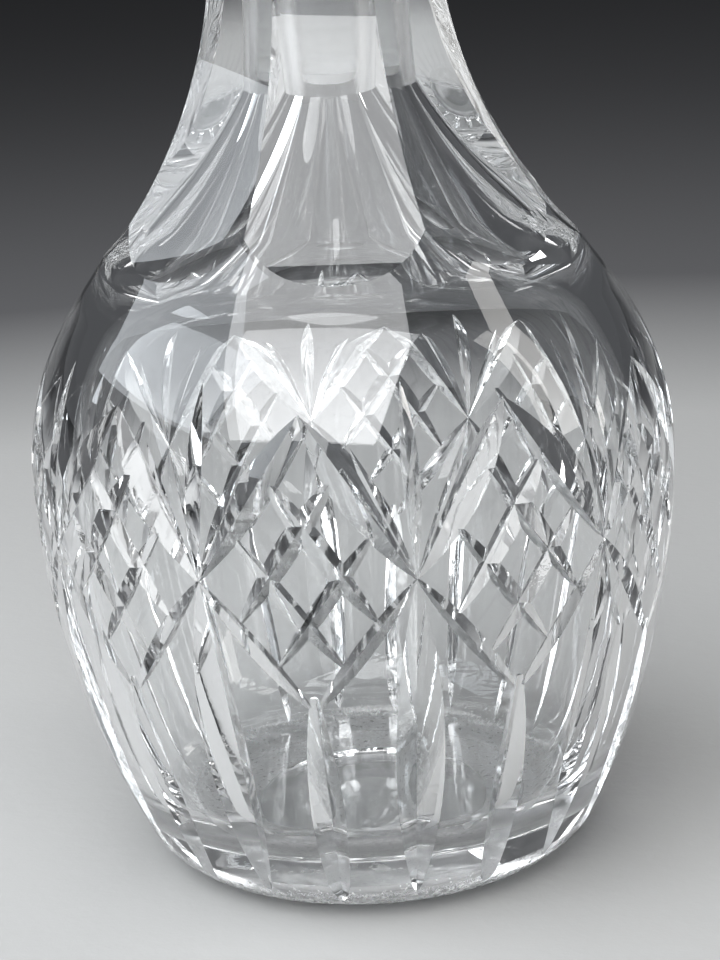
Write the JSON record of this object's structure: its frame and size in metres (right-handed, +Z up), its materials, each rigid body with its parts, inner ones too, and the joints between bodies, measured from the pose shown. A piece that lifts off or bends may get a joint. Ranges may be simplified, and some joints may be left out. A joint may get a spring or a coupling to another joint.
{
  "type": "cut crystal decanter",
  "caption": "Clear cut crystal decanter: flared fluted neck, round belly cut with large latticed diamonds, fans and upright mitres, and a solid faceted stopper ground into the neck.",
  "frame": {"origin": "centre of the base, on the plane that the decanter stands on", "axes": "+Z up along the bottle's axis; -Y is the side the picture shows"},
  "size_m": [0.128, 0.128, 0.2578],
  "materials": {
    "crystal": "polished clear lead crystal",
    "stopper_crystal": "polished clear lead crystal with a ground plug"
  },
  "bodies": {
    "bottle_body": {"bottle": "crystal"},
    "stopper_body": {"stopper": "stopper_crystal"}
  },
  "joints": [
    {"name": "stopper_lift", "type": "slide", "parent": "bottle_body", "child": "stopper_body", "axis": [0, 0, 1], "range_m": [0, 0.06]}
  ]
}
